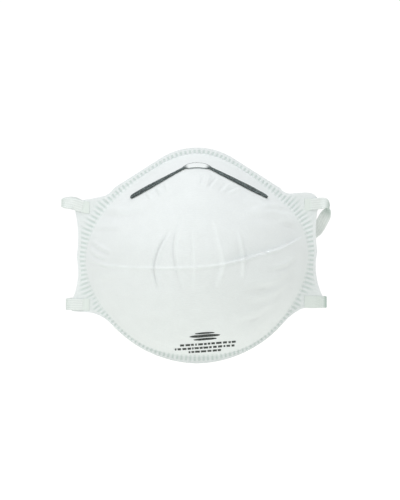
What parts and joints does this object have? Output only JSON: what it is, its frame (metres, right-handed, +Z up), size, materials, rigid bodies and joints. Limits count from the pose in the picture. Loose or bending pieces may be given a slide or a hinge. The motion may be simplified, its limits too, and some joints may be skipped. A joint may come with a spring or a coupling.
{
  "type": "disposable dust mask",
  "caption": "Moulded cup-shaped disposable dust mask with a crimped flange, outside metal nose clip and elastic head straps.",
  "frame": {"origin": "mid-plane of the mask at the front face of the rim, level with the middle of the side edges", "axes": "+Z up as worn, -Y forwards out of the cup, +Y towards the wearer's face, +X to the wearer's left"},
  "size_m": [0.1507, 0.1438, 0.1204],
  "materials": {
    "cover_web": "matt white spunbond nonwoven",
    "filter_web": "soft white melt-blown web",
    "shell_web": "stiff moulded needled web",
    "lining_web": "smooth white spunbond nonwoven",
    "clip_metal": "dark grey coated, finely scored",
    "hot_melt": "clear hot-melt glue",
    "foam": "soft open-cell foam",
    "tape": "thin transfer tape",
    "elastic": "white elastic with lengthwise ribs"
  },
  "bodies": {
    "mask": {"outer_cover": "cover_web", "filter_web": "filter_web", "support_shell": "shell_web", "inner_lining": "lining_web", "nose_clip": "clip_metal", "nose_clip_bond": "hot_melt", "nose_foam": "foam", "nose_foam_tape": "tape", "upper_strap_left_tail": "elastic", "upper_strap_right_tail": "elastic", "lower_strap_left_tail": "elastic", "lower_strap_right_tail": "elastic"},
    "upper_strap": {"upper_strap_left_run": "elastic", "upper_strap_right_run": "elastic"},
    "upper_strap_crown": {"upper_strap_rear": "elastic"},
    "lower_strap": {"lower_strap_left_run": "elastic", "lower_strap_right_run": "elastic"},
    "lower_strap_nape": {"lower_strap_rear": "elastic"}
  },
  "joints": [
    {"name": "upper_strap_swing", "type": "hinge", "parent": "mask", "child": "upper_strap", "pos_m": [0, 0.01178, 0.029], "axis": [1, 0, 0], "range_deg": [0, 130], "stiffness_Nm_per_rad": 0.02},
    {"name": "upper_strap_stretch", "type": "slide", "parent": "upper_strap", "child": "upper_strap_crown", "axis": [0, 0.9272, -0.3746], "range_m": [0, 0.044], "stiffness_N_per_m": 20},
    {"name": "lower_strap_swing", "type": "hinge", "parent": "mask", "child": "lower_strap", "pos_m": [0, 0.01256, -0.0266], "axis": [1, 0, 0], "range_deg": [-100, 0], "stiffness_Nm_per_rad": 0.02},
    {"name": "lower_strap_stretch", "type": "slide", "parent": "lower_strap", "child": "lower_strap_nape", "axis": [0, 1, 0], "range_m": [0, 0.07], "stiffness_N_per_m": 20}
  ]
}
